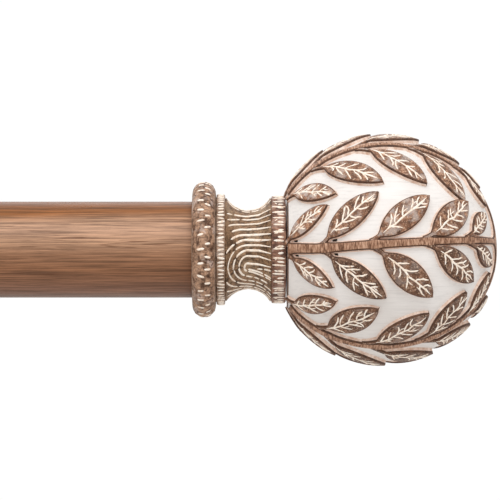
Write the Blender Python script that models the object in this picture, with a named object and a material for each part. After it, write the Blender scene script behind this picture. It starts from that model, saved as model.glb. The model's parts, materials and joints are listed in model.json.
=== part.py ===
"""A telescopic curtain rod on two wall brackets, with a leaf-covered ball finial at each end.

Metres, +Z up. X runs along the rod, the wall is the plane Y = 0 and the room is on the -Y side.
The origin is on the wall plane, level with the rod and midway between the two brackets.
The rod is modelled closed to its shortest length, resting in its brackets.
"""

import math

import bmesh
import bpy
from mathutils import Matrix, Vector

GAP = 0.0003  # left between pieces that touch

# Rod: two tubes, one sliding in the other. Its length is measured between the finials' rims.
ROD_LENGTH = 0.4572
OUTER_DIAMETER = 0.0254
OUTER_BORE = 0.0238
INNER_DIAMETER = 0.0222
INNER_BORE = 0.0206
INNER_SHOWS = 0.0254  # of the thinner tube, between the outer tube's mouth and the left finial
INNER_LENGTH = 0.400
TUBE_IN_FINIAL = 0.0066  # how far a tube end goes into its finial
ROD_TO_WALL = 0.089
BRACKET_FROM_RIM = 0.090

# Finial, measured outwards along its axis from its rim.
RING_LENGTH = 0.0062
RING_RADIUS = 0.01785
SOCKET_RADIUS = 0.0130
SOCKET_DEPTH = 0.0085
SLEEVE_RADIUS = 0.0139
INNER_BAND = (0.0064, 0.0087, 0.0146)  # start, end and radius of the narrow ribbed band
OUTER_BAND = (0.0208, 0.0246, 0.0141)  # and of the one against the ball
WAIST_RADIUS = 0.0104
BALL_X = 0.0501
BALL_RADIUS = 0.0294
SEAT_X = 0.0249
BOLT_RADIUS = 0.0029
BOLT_BORE = 0.0034
BOLT_SPAN = (-0.005, 0.042)

# Leaf sprays: six branches along meridians of the ball, each with leaves in opposite pairs.
# Angles in degrees: along a branch from the collar's pole, and around the axis from the branch.
SPRAYS = 6
LEAF_PAIRS = 5
SPRAY_TURN = 3.0
SPRAY_TILT = 2.5
BRANCH_SPAN = (34.5, 177.0)
BRANCH_STEPS = 12
BRANCH_HALF_WIDTHS = (0.00105, 0.00060)
BRANCH_HEIGHTS = (0.00030, 0.00115)
FIRST_LEAF = 39.0
LEAF_SPACING = 25.0
LEAF_REACH = 25.0
LAST_LEAF_REACH = 17.0
LEAF_TIP_AROUND = 26.5
END_LEAF_TIP_AROUND = 24.0
STEM_OFFSET = 0.00055
LEAF_WIDTH_SHARE = 0.39
LEAF_HEIGHTS = (0.00035, 0.00130)
STEM_HEIGHTS = (0.00045, 0.00095)

# Brackets.
PLATE_HEIGHT = 0.076
PLATE_WIDTH = 0.030
PLATE_THICKNESS = 0.003
WALL_SCREW_Z = 0.028
WALL_SCREW_HOLE = 0.0026
WALL_SCREW_SINK = 0.0052
POST_LENGTH = 0.052
POST_RADIUS = 0.0085
POST_BORE = 0.0064
ARM_RADIUS = 0.0061
ARM_INNER_END = 0.006  # from the wall
CRADLE_WIDTH = 0.014
CRADLE_INNER = 0.0131
CRADLE_OUTER = 0.0157
CRADLE_REAR = 0.0085  # how far the rear wall and the front lip rise above the rod's axis
CRADLE_FRONT = 0.0045
LOCK_SCREW_Y = 0.044  # from the wall
BOSS_RADIUS = 0.0048
SCREW_BORE = 0.0026
SCREW_RADIUS = 0.0022
SCREW_TIP = 0.0028
KNOB_RADIUS = 0.0065
KNOB_LENGTH = 0.0065

ROUND = 32  # sides of the rod and the finials
SMALL_ROUND = 16

TOWARDS_ROOM = Matrix.Rotation(math.radians(-90), 4, "Z")
TOWARDS_WALL = Matrix.Rotation(math.radians(90), 4, "Z")
DOWNWARDS = Matrix.Rotation(math.radians(90), 4, "Y")


def clear_scene():
    for obj in list(bpy.data.objects):
        bpy.data.objects.remove(obj)


def material(name, colour, roughness, metallic=0.0):
    made = bpy.data.materials.new(name)
    made.use_nodes = True
    shader = made.node_tree.nodes["Principled BSDF"]
    shader.inputs["Base Color"].default_value = (*colour, 1.0)
    shader.inputs["Roughness"].default_value = roughness
    shader.inputs["Metallic"].default_value = metallic
    return made


def place(name, mesh, finish, parent=None, at=(0, 0, 0), turn=None):
    """A named object in the scene. turn is a rotation matrix, and its mesh may be shared."""
    obj = bpy.data.objects.new(name, mesh)
    bpy.context.scene.collection.objects.link(obj)
    obj.parent = parent
    obj.matrix_local = Matrix.Translation(at) @ (turn or Matrix())
    if not mesh.materials:
        mesh.materials.append(finish)
    return obj


def frame(name, parent=None, at=(0, 0, 0), turn=None):
    empty = bpy.data.objects.new(name, None)
    bpy.context.scene.collection.objects.link(empty)
    empty.parent = parent
    empty.matrix_local = Matrix.Translation(at) @ (turn or Matrix())
    return empty


def mesh_from(bm, name):
    bmesh.ops.remove_doubles(bm, verts=bm.verts, dist=1e-7)
    bmesh.ops.recalc_face_normals(bm, faces=bm.faces)
    mesh = bpy.data.meshes.new(name)
    bm.to_mesh(mesh)
    bm.free()
    mesh.shade_smooth()
    mesh.set_sharp_from_angle(angle=math.radians(35))
    return mesh


def arc(centre, radius, start, end, steps):
    """Points on an arc in a plane, from the start angle to the end angle in degrees."""
    angles = [math.radians(start + (end - start) * i / steps) for i in range(steps + 1)]
    return [(centre[0] + radius * math.cos(a), centre[1] + radius * math.sin(a)) for a in angles]


def turned(name, profile, sides=SMALL_ROUND, hollow=False):
    """A body turned about X from (x, radius) points. A hollow one's profile is a closed loop."""
    bm = bmesh.new()
    verts = [bm.verts.new((x, 0, r)) for x, r in profile]
    pairs = list(zip(verts, verts[1:]))
    if hollow:
        pairs.append((verts[-1], verts[0]))
    edges = [bm.edges.new(pair) for pair in pairs]
    bmesh.ops.spin(
        bm,
        geom=verts + edges,
        cent=(0, 0, 0),
        axis=(1, 0, 0),
        angle=math.tau,
        steps=sides,
        use_merge=True,
    )
    return mesh_from(bm, name)


def rod_between(name, start, end, radius, sides=SMALL_ROUND):
    return turned(name, [(start, 0), (start, radius), (end, radius), (end, 0)], sides)


def ring_between(name, start, end, inner, outer, sides=SMALL_ROUND):
    profile = [(start, inner), (start, outer), (end, outer), (end, inner)]
    return turned(name, profile, sides, hollow=True)


def extruded(name, outline, vector):
    """A flat outline of 3-D points swept along a vector."""
    bm = bmesh.new()
    face = bm.faces.new([bm.verts.new(p) for p in outline])
    swept = bmesh.ops.extrude_face_region(bm, geom=[face])["geom"]
    moved = [v for v in swept if isinstance(v, bmesh.types.BMVert)]
    bmesh.ops.translate(bm, verts=moved, vec=vector)
    return mesh_from(bm, name)


def transformed(mesh, matrix):
    mesh.transform(matrix)
    return mesh


def combined(name, base, *steps):
    """The mesh left by Boolean steps on base, each an operation and the mesh that it uses."""
    body = bpy.data.objects.new("working_body", base)
    tools = []
    for operation, mesh in steps:
        tool = bpy.data.objects.new("working_tool", mesh)
        tools.append(tool)
        modifier = body.modifiers.new(operation, "BOOLEAN")
        modifier.operation = operation
        modifier.object = tool
    for obj in (body, *tools):
        bpy.context.scene.collection.objects.link(obj)
    graph = bpy.context.evaluated_depsgraph_get()
    made = bpy.data.meshes.new_from_object(body.evaluated_get(graph))
    made.name = name
    for obj in (body, *tools):
        bpy.data.objects.remove(obj)
    made.shade_smooth()
    made.set_sharp_from_angle(angle=math.radians(35))
    return made


# Leaf sprays


def on_ball(along, around, height):
    """A point over the ball in its own frame, X outwards along the finial, from angles in degrees."""
    a, b = math.radians(along), math.radians(around)
    direction = Vector((-math.cos(a), -math.sin(a) * math.cos(b), math.sin(a) * math.sin(b)))
    return direction * (BALL_RADIUS + height)


def branch_mesh():
    """A tapering strip along the meridian, with a rectangular section."""
    bm = bmesh.new()
    sections = []
    for step in range(BRANCH_STEPS + 1):
        share = step / BRANCH_STEPS
        along = BRANCH_SPAN[0] + share * (BRANCH_SPAN[1] - BRANCH_SPAN[0])
        half = BRANCH_HALF_WIDTHS[0] + share * (BRANCH_HALF_WIDTHS[1] - BRANCH_HALF_WIDTHS[0])
        corners = [(-half, 0), (half, 0), (half, 1), (-half, 1)]
        points = [on_ball(along, 0, BRANCH_HEIGHTS[i]) + Vector((0, 0, z)) for z, i in corners]
        sections.append([bm.verts.new(p) for p in points])
    for near, far in zip(sections, sections[1:]):
        for i in range(4):
            j = (i + 1) % 4
            bm.faces.new((near[i], near[j], far[j], far[i]))
    bm.faces.new(sections[0])
    bm.faces.new(reversed(sections[-1]))
    return mesh_from(bm, "branch")


def add_leaf(bm, along, reach, tip_around, side):
    """A leaf-shaped plate from inside the branch to its tip, on one side (+1 or -1) of it."""
    stem_around = math.degrees(STEM_OFFSET / (BALL_RADIUS * math.sin(math.radians(along))))
    base = on_ball(along, side * stem_around, 0).normalized()
    tip = on_ball(along + reach, side * tip_around, 0).normalized()
    length = base.angle(tip) * BALL_RADIUS
    half = LEAF_WIDTH_SHARE * length / 2
    across = base.cross(tip).normalized()
    stations = [  # share of the length, half width, heights
        (0.0, 0.0004, STEM_HEIGHTS),
        (0.36, 0.92 * half, LEAF_HEIGHTS),
        (0.68, 0.86 * half, LEAF_HEIGHTS),
        (1.0, 0.0, LEAF_HEIGHTS),
    ]
    layers = []
    for layer in (0, 1):
        rows = []
        for share, width, heights in stations:
            middle = base.slerp(tip, share)
            lengths = (-width, 0, width) if 0 < share < 1 else (-width, width) if width else (0,)
            directions = [(middle * BALL_RADIUS + across * w).normalized() for w in lengths]
            radius = BALL_RADIUS + heights[layer]
            rows.append([bm.verts.new(d * radius) for d in directions])
        layers.append(rows)
    for rows in layers:
        stem, wide, upper, point = rows
        bm.faces.new((stem[0], wide[0], wide[1]))
        bm.faces.new((stem[0], wide[1], stem[1]))
        bm.faces.new((stem[1], wide[1], wide[2]))
        for i in (0, 1):
            bm.faces.new((wide[i], upper[i], upper[i + 1], wide[i + 1]))
            bm.faces.new((upper[i], point[0], upper[i + 1]))
    low, high = layers
    rims = [[r[0][0], r[1][0], r[2][0], r[3][0], r[2][2], r[1][2], r[0][1]] for r in (low, high)]
    for i in range(len(rims[0])):
        j = (i + 1) % len(rims[0])
        bm.faces.new((rims[0][i], rims[0][j], rims[1][j], rims[1][i]))


def spray_mesh():
    bm = bmesh.new()
    for pair in range(LEAF_PAIRS):
        last = pair == LEAF_PAIRS - 1
        along = FIRST_LEAF + LEAF_SPACING * pair
        reach = LAST_LEAF_REACH if last else LEAF_REACH
        around = END_LEAF_TIP_AROUND if last or pair == 0 else LEAF_TIP_AROUND
        for side in (1, -1):
            add_leaf(bm, along, reach, around, side)
    return combined("spray", branch_mesh(), ("UNION", mesh_from(bm, "leaves")))


# Finials


def bead_ring_mesh():
    half = RING_LENGTH / 2
    crown = arc((half, RING_RADIUS - half), half, 180, 0, 6)
    lip = [(0.0006, SLEEVE_RADIUS + GAP), (0.0006, SOCKET_RADIUS), (0, SOCKET_RADIUS)]
    profile = [*crown, (RING_LENGTH, SLEEVE_RADIUS + GAP), *lip]
    return turned("bead_ring", profile, ROUND, hollow=True)


def neck_mesh():
    """Socket sleeve, narrow band, hollow waist and outer band, bored through for the bolt."""
    start, end = INNER_BAND[1], OUTER_BAND[0]
    depth = OUTER_BAND[2] - WAIST_RADIUS
    sweep = 2 * math.atan(2 * depth / (end - start))
    radius = (end - start) / 2 / math.sin(sweep)
    centre = ((start + end) / 2, WAIST_RADIUS + radius)
    half_turn = math.degrees(sweep)
    waist = arc(centre, radius, 270 - half_turn, 270 + half_turn, 8)
    profile = [
        (0.0009, SOCKET_RADIUS),
        (0.0009, SLEEVE_RADIUS),
        (INNER_BAND[0], SLEEVE_RADIUS),
        (INNER_BAND[0], INNER_BAND[2]),
        (INNER_BAND[1], INNER_BAND[2]),
        *waist,
        (OUTER_BAND[1], OUTER_BAND[2]),
        (OUTER_BAND[1], BOLT_BORE),
        (SOCKET_DEPTH, BOLT_BORE),
        (SOCKET_DEPTH, SOCKET_RADIUS),
    ]
    return turned("neck", profile, ROUND, hollow=True)


def ball_mesh():
    """A ball with a flat seat for the neck and a blind hole for the bolt."""
    hole_end = BOLT_SPAN[1] + 0.001
    seat_angle = math.degrees(math.acos((BALL_X - SEAT_X) / BALL_RADIUS))
    skin = arc((BALL_X, 0), BALL_RADIUS, 180 - seat_angle, 0, 14)
    skin[-1] = (BALL_X + BALL_RADIUS, 0)
    hole = [(hole_end, 0), (hole_end, BOLT_RADIUS + GAP), (SEAT_X, BOLT_RADIUS + GAP)]
    return turned("ball", hole + skin, ROUND)


def bolt_mesh():
    """A hanger bolt: machine thread towards the rod, pointed wood thread in the ball."""
    start, end = BOLT_SPAN
    tip = [(start, 0), (start, 0.0023), (start + 0.0006, BOLT_RADIUS)]
    point = [(end - 0.004, BOLT_RADIUS), (end, 0.0006), (end, 0)]
    return turned("hanger_bolt", tip + point)


def insert_mesh():
    """A flanged brass insert, threaded for the bolt and free of it by the usual gap."""
    bore, body, flange = BOLT_RADIUS + GAP, 0.0045, 0.0058
    profile = [(-0.006, bore), (-0.006, body), (0.0072, body), (0.0072, flange), (0.0082, flange), (0.0082, bore)]
    return turned("insert", profile, hollow=True)


def plug_mesh(tube_bore, name):
    """A nylon end plug: a spigot in the tube, a flange on its end and a bore for the insert."""
    spigot, flange_start, flange_end = tube_bore / 2 - GAP, TUBE_IN_FINIAL + GAP, 0.0081
    profile = [
        (-0.010, 0.0048),
        (-0.010, spigot),
        (flange_start, spigot),
        (flange_start, 0.0122),
        (flange_end, 0.0122),
        (flange_end, 0.0061),
        (0.0069, 0.0061),
        (0.0069, 0.0048),
    ]
    return turned(name, profile, ROUND, hollow=True)


def build_finial(side, direction, rod, meshes, finishes):
    """One finial at its end of the rod, with the plug and the insert that it screws into."""
    turn = Matrix.Rotation(0 if direction > 0 else math.pi, 4, "Z")
    base = frame(f"{side}_finial_frame", rod, (direction * ROD_LENGTH / 2, 0, 0), turn)
    place(f"{side}_finial_bead_ring", meshes["bead_ring"], finishes["carved"], base)
    place(f"{side}_finial_neck", meshes["neck"], finishes["carved"], base)
    place(f"{side}_finial_ball", meshes["ball"], finishes["ivory"], base)
    place(f"{side}_hanger_bolt", meshes["bolt"], finishes["zinc"], base)
    place(f"{side}_plug_insert", meshes["insert"], finishes["brass"], base)
    place(f"{side}_tube_plug", meshes[f"{side}_plug"], finishes["nylon"], base)
    tilt = Matrix.Rotation(math.radians(-SPRAY_TILT), 4, "Y")
    ball = frame(f"{side}_spray_frame", base, (BALL_X, 0, 0), tilt)
    for i in range(SPRAYS):
        around = Matrix.Rotation(math.radians(SPRAY_TURN + 360 / SPRAYS * i), 4, "X")
        place(f"{side}_leaf_spray_{i + 1}", meshes["spray"], finishes["leaf"], ball, turn=around)


# Rod


def build_tubes(rod, finishes):
    left_end = -ROD_LENGTH / 2
    mouth = left_end + INNER_SHOWS
    right_end = ROD_LENGTH / 2 + TUBE_IN_FINIAL
    inner_start = left_end - TUBE_IN_FINIAL
    inner_end = inner_start + INNER_LENGTH
    outer = ring_between("outer_tube", mouth, right_end, OUTER_BORE / 2, OUTER_DIAMETER / 2, ROUND)
    inner = ring_between("inner_tube", inner_start, inner_end, INNER_BORE / 2, INNER_DIAMETER / 2, ROUND)
    place("outer_tube", outer, finishes["film"], rod)
    place("inner_tube", inner, finishes["film"], rod)

    bore, liner = INNER_DIAMETER / 2 + GAP, OUTER_BORE / 2 - GAP
    lip = mouth - GAP
    guide = [
        (lip - 0.0015, bore),
        (lip - 0.0015, OUTER_DIAMETER / 2),
        (lip, OUTER_DIAMETER / 2),
        (lip, liner),
        (mouth + 0.012, liner),
        (mouth + 0.012, bore),
    ]
    place("outer_tube_guide_ring", turned("guide_ring", guide, ROUND, hollow=True), finishes["nylon"], rod)

    spigot, bearing = INNER_BORE / 2 - GAP, OUTER_BORE / 2 - GAP
    glide = [
        (inner_end - 0.010, 0.0085),
        (inner_end - 0.010, spigot),
        (inner_end + GAP, spigot),
        (inner_end + GAP, bearing),
        (inner_end + 0.005, bearing),
        (inner_end + 0.005, 0.0085),
    ]
    place("inner_tube_glide", turned("glide", glide, ROUND, hollow=True), finishes["nylon"], rod)

    sleeve_inner = INNER_DIAMETER / 2 + GAP
    sleeve = ring_between(
        "end_sleeve", left_end - TUBE_IN_FINIAL, left_end + 0.003, sleeve_inner, OUTER_DIAMETER / 2, ROUND
    )
    place("inner_tube_end_sleeve", sleeve, finishes["film"], rod)


# Brackets. Each is modelled about its own middle plane, with X = 0 there.


def plate_mesh():
    half, radius = PLATE_HEIGHT / 2, PLATE_WIDTH / 2
    upper = arc((0, half - radius), radius, 0, 180, 10)
    lower = arc((0, radius - half), radius, 180, 360, 10)
    outline = [(x, 0, z) for x, z in upper + lower]
    plate = extruded("plate", outline, (0, -PLATE_THICKNESS, 0))
    cuts = []
    for z in (WALL_SCREW_Z, -WALL_SCREW_Z):
        profile = [
            (-0.004, 0),
            (-0.004, WALL_SCREW_HOLE),
            (0.0006, WALL_SCREW_HOLE),
            (PLATE_THICKNESS + 0.0006, WALL_SCREW_SINK + 0.0006),
            (PLATE_THICKNESS + 0.0006, 0),
        ]
        cutter = transformed(turned("hole", profile), Matrix.Translation((0, 0, z)) @ TOWARDS_ROOM)
        cuts.append(("DIFFERENCE", cutter))
    return combined("wall_plate", plate, *cuts)


def post_mesh():
    """The sleeve on the plate, with a threaded boss under it for the lock screw."""
    start = PLATE_THICKNESS + GAP
    profile = [
        (start, POST_BORE),
        (start, 0.0115),
        (start + 0.002, 0.0115),
        (start + 0.0035, POST_RADIUS),
        (POST_LENGTH - 0.001, POST_RADIUS),
        (POST_LENGTH, POST_RADIUS - 0.001),
        (POST_LENGTH, POST_BORE),
    ]
    post = transformed(turned("post", profile, 24, hollow=True), TOWARDS_ROOM)
    at = Matrix.Translation((0, -LOCK_SCREW_Y, 0)) @ DOWNWARDS
    boss = transformed(rod_between("boss", POST_BORE + 0.0008, POST_RADIUS + 0.0038, BOSS_RADIUS), at)
    bore = transformed(rod_between("bore", 0.002, 0.02, SCREW_BORE), at)
    return combined("post", post, ("UNION", boss), ("DIFFERENCE", bore))


def arm_mesh():
    end = ROD_TO_WALL - CRADLE_OUTER - 0.0020 - GAP
    return transformed(rod_between("arm", ARM_INNER_END, end, ARM_RADIUS, 24), TOWARDS_ROOM)


def cradle_mesh():
    """A U-shaped strip that the rod drops into, with a spigot for the arm and a boss for the clamp."""
    inside = arc((0, 0), CRADLE_INNER, 360, 180, 14)
    outside = arc((0, 0), CRADLE_OUTER, 180, 360, 14)
    rear_top = [(CRADLE_INNER, CRADLE_REAR), (CRADLE_OUTER, CRADLE_REAR)]
    front_top = [(-CRADLE_OUTER, CRADLE_FRONT), (-CRADLE_INNER, CRADLE_FRONT)]
    loop = [rear_top[1], rear_top[0], *inside, front_top[1], front_top[0], *outside]
    outline = [(-CRADLE_WIDTH / 2, y, z) for y, z in loop]
    strip = extruded("strip", outline, (CRADLE_WIDTH, 0, 0))
    spigot = transformed(rod_between("spigot", -0.0180 + GAP, -0.0142, ARM_RADIUS, 24), TOWARDS_ROOM)
    trimmed = transformed(rod_between("spigot", CRADLE_INNER + 0.0011, CRADLE_OUTER + 0.0020, ARM_RADIUS, 24), TOWARDS_WALL)
    bpy.data.meshes.remove(spigot)
    boss = transformed(rod_between("boss", CRADLE_INNER + 0.0009, 0.0205, BOSS_RADIUS), DOWNWARDS)
    bore = transformed(rod_between("bore", 0.010, 0.025, SCREW_BORE), DOWNWARDS)
    return combined("cradle", strip, ("UNION", trimmed), ("UNION", boss), ("DIFFERENCE", bore))


def tip_mesh():
    return rod_between("screw_tip", 0, SCREW_TIP, SCREW_RADIUS, 12)


def thumb_screw_mesh():
    start = SCREW_TIP + GAP
    shank_end = start + 0.0085
    profile = [
        (start, 0),
        (start, SCREW_RADIUS),
        (shank_end, SCREW_RADIUS),
        (shank_end, KNOB_RADIUS - 0.0006),
        (shank_end + 0.0006, KNOB_RADIUS),
        (shank_end + KNOB_LENGTH - 0.0006, KNOB_RADIUS),
        (shank_end + KNOB_LENGTH, KNOB_RADIUS - 0.0006),
        (shank_end + KNOB_LENGTH, 0),
    ]
    return turned("thumb_screw", profile)


def wall_screw_mesh():
    """A countersunk screw, its head just below the plate's face and its point in the wall."""
    profile = [
        (-0.0028, 0),
        (-0.0028, 0.0047),
        (-0.0004, 0.0019),
        (0.028, 0.0019),
        (0.032, 0.0004),
        (0.032, 0),
    ]
    return turned("wall_screw", profile, 12)


def build_bracket(side, direction, meshes, finishes):
    """One bracket on the wall, with its sliding arm, its cradle and its two thumb screws."""
    x = direction * (ROD_LENGTH / 2 - BRACKET_FROM_RIM)
    base = frame(f"{side}_bracket_frame", at=(x, 0, 0))
    rod = (0, -ROD_TO_WALL, 0)
    place(f"{side}_wall_plate", meshes["plate"], finishes["bronze"], base)
    place(f"{side}_post", meshes["post"], finishes["bronze"], base)
    place(f"{side}_arm", meshes["arm"], finishes["bronze"], base)
    place(f"{side}_cradle", meshes["cradle"], finishes["bronze"], base, rod)
    lock = (0, -LOCK_SCREW_Y, -ARM_RADIUS - GAP)
    clamp = (0, -ROD_TO_WALL, -OUTER_DIAMETER / 2 - GAP)
    for job, at in (("lock", lock), ("clamp", clamp)):
        place(f"{side}_{job}_tip", meshes["tip"], finishes["nylon"], base, at, DOWNWARDS)
        place(f"{side}_{job}_screw", meshes["thumb_screw"], finishes["bronze"], base, at, DOWNWARDS)
    for level, z in (("upper", WALL_SCREW_Z), ("lower", -WALL_SCREW_Z)):
        at = (0, 0, z)
        place(f"{side}_{level}_wall_screw", meshes["wall_screw"], finishes["zinc"], base, at, TOWARDS_WALL)
        place(f"{side}_{level}_wall_anchor", meshes["wall_anchor"], finishes["nylon"], base, at, TOWARDS_WALL)


def main():
    clear_scene()
    finishes = {
        "film": material("oak_film", (0.50, 0.31, 0.19), 0.45),
        "carved": material("carved_brown", (0.42, 0.27, 0.17), 0.6),
        "leaf": material("leaf_brown", (0.33, 0.19, 0.12), 0.6),
        "ivory": material("ivory", (0.80, 0.78, 0.74), 0.55),
        "bronze": material("bronze_paint", (0.24, 0.14, 0.08), 0.4, 0.6),
        "zinc": material("zinc", (0.62, 0.62, 0.60), 0.35, 1.0),
        "brass": material("brass", (0.75, 0.56, 0.27), 0.35, 1.0),
        "nylon": material("nylon", (0.72, 0.70, 0.66), 0.5),
    }
    finial_meshes = {
        "bead_ring": bead_ring_mesh(),
        "neck": neck_mesh(),
        "ball": ball_mesh(),
        "bolt": bolt_mesh(),
        "insert": insert_mesh(),
        "right_plug": plug_mesh(OUTER_BORE, "right_plug"),
        "left_plug": plug_mesh(INNER_BORE, "left_plug"),
        "spray": spray_mesh(),
    }
    bracket_meshes = {
        "plate": plate_mesh(),
        "post": post_mesh(),
        "arm": arm_mesh(),
        "cradle": cradle_mesh(),
        "tip": tip_mesh(),
        "thumb_screw": thumb_screw_mesh(),
        "wall_screw": wall_screw_mesh(),
        "wall_anchor": ring_between("wall_anchor", 0.0025, 0.030, 0.0022, 0.0035, 12),
    }
    rod = frame("rod_frame", at=(0, -ROD_TO_WALL, 0))
    build_tubes(rod, finishes)
    for side, direction in (("right", 1), ("left", -1)):
        build_finial(side, direction, rod, finial_meshes, finishes)
        build_bracket(side, direction, bracket_meshes, finishes)


main()
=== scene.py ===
"""The looks of a curtain rod on two wall brackets, with a carved ball finial at each end.

Metres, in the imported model's frame: X along the rod, the wall is the plane Y = 0 with the room
on its -Y side, Z up. A finial is modelled once in a frame of its own, with its rim at the origin
and X outwards along its axis, and is placed at both ends of the rod.
"""

import json
import random
from math import acos, atan, cos, degrees, exp, pi, radians, sin, sqrt, tan, tau

import bmesh
import bpy
import numpy as np
from mathutils import Matrix, Vector

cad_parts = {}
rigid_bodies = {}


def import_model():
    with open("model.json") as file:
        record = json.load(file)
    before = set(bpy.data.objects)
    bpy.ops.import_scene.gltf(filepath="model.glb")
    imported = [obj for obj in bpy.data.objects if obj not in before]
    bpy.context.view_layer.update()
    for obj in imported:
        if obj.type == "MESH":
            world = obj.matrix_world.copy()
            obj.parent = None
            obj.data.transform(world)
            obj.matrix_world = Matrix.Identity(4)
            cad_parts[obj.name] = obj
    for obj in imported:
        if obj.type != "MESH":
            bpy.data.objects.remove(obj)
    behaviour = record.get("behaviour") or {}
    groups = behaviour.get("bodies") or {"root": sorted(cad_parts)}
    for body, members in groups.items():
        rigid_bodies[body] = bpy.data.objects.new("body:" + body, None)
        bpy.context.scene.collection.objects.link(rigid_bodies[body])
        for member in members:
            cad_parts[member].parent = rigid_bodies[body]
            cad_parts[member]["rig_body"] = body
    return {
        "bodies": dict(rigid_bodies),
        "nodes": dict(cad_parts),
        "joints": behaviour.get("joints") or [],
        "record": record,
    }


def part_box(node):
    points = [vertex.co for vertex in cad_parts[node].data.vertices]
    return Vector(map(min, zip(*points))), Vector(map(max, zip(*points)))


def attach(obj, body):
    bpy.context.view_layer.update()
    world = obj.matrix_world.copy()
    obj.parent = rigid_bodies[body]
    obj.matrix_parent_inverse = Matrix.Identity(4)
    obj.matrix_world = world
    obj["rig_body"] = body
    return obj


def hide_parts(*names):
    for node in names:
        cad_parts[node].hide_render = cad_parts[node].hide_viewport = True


MM = 0.001
SIDES = {"right": 1, "left": -1}
ROD_TO_WALL = 0.089
LOCK_TO_WALL = 0.044
WALL_SCREW_RISE = 0.028

# The rod's radii, and the play that lets its fittings slide.
ROD_RADIUS = 0.0127
OUTER_BORE = 0.0119
INNER_BORE = 0.0103
END_SLEEVE_BORE = 0.0114
LINER = 0.0116
GAP = 0.0003

# The brackets' arms, and the threads of the thumb screws and hanger bolts.
ARM_RADIUS = 0.0061
THUMB_RADIUS, THUMB_PITCH = 0.0022, 0.0008
BOLT_PITCH = 0.0010

# The finial, outwards from its rim: (from, to, radius) for the bands.
RING_TUBE = 0.0031
RING_RADIUS = 0.01475
SLEEVE = 0.0139
NECK_BORE = 0.0130
BAND_IN = (0.0064, 0.0087, 0.0146)
BAND_OUT = (0.0208, 0.0246, 0.0141)
WAIST = 0.0104
KNOT_RADIUS = 11.4 * MM  # of the waist, about where its knots are
KNOT_ANGLE = radians(-27)
BALL_X = 0.0501
BALL_RADIUS = 0.0294
SEAT_X = 0.0249
SPRAYS = 6
SPRAY_TURN = 4.0
SPRAY_TILT = 3.5
BRANCH_SPAN = (34.3, 180.0)
WEB_RADIUS = 4.6 * MM  # of the fillets where the branches meet

# One row for each pair of leaves, in degrees from the collar's pole and round from the branch:
# where it leaves the branch, where its tip is, how far round the tip is, the half width, how far
# from the branch's middle the stalk starts, and where on the way its bend is (along, around).
LEAF_PAIRS = (
    (35.5, 61.6, 23.6, 2.50 * MM, 1.50 * MM, 0.18, 0.42),
    (60.0, 86.8, 27.0, 3.30 * MM, 0.35 * MM, 0.10, 0.25),
    (85.3, 112.2, 28.6, 3.45 * MM, 0.35 * MM, 0.16, 0.20),
    (111.8, 136.6, 30.5, 3.30 * MM, 0.35 * MM, 0.20, 0.18),
    (137.5, 151.0, 32.0, 2.40 * MM, 0.35 * MM, 0.10, 0.16),
)
# No two sprays are carved alike: shifts of base, tip and tip's turn for a spray's one side.
PLAIN_SHIFTS = ((-1, 1, 1), (-3, 1, 0), (-4, 0, -2), (-4, -1, -2), (-2, 0, -6))
LEAF_SHIFTS = {
    (1, 1): ((0, 0, 0), (0, 0.8, -1.7), (0, 0.6, -4.7), (0, -0.3, -2.6), (0, 0.8, -3.5)),
    (1, -1): ((0, 0, 0), (0, 1.2, 1.0), (0, -1.0, 2.2), (0, 0, 1.0), (0, 4.5, -1.0)),
    (2, -1): ((-1, 5.0, 7.5), (-4, 3.6, 2.0), (-5, 0, 0), (-5, -2.4, 3.0), (-6, 3.5, -16.0)),
    (6, 1): ((-1, 1.5, 4.7), (-5, -2.5, -1), (-6, -3, -9), (-6, -5, -7), (-8, 2, -10)),
}
# Spray 2, above the front branch, has its leaves painted pale as painted light, and spray 6, below
# it, dark as painted shade. On the others one side of the branch is painted pale and the other
# dark; on the front branch the pale side is the upper one.
SPRAY_LIGHT = {2: "pale", 6: "dark"}  # the sprays whose leaves are all alike
# Dark spots of painted shade, in the corners between stalks and branch.
SHADE_SPOTS = (39.0, 63.6)  # along the branches that face the room at the rod's two ends

# The room's brightness and its softboxes: place from the rod's middle, size and power.
FILL = 0.88
LIGHTS = (
    ("key", (0.1, -1.0, 1.5), (2.2, 1.0), 18),
    ("back", (-0.2, 1.6, 1.2), (2.0, 1.0), 8),
)
FLOOR_HEIGHT, FLOOR_RADIUS = -0.45, 3.6

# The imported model, each node's material slot, and the materials by name.
FRAME, SLOTS, PAINTS = {}, {}, {}


# Meshes


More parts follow.
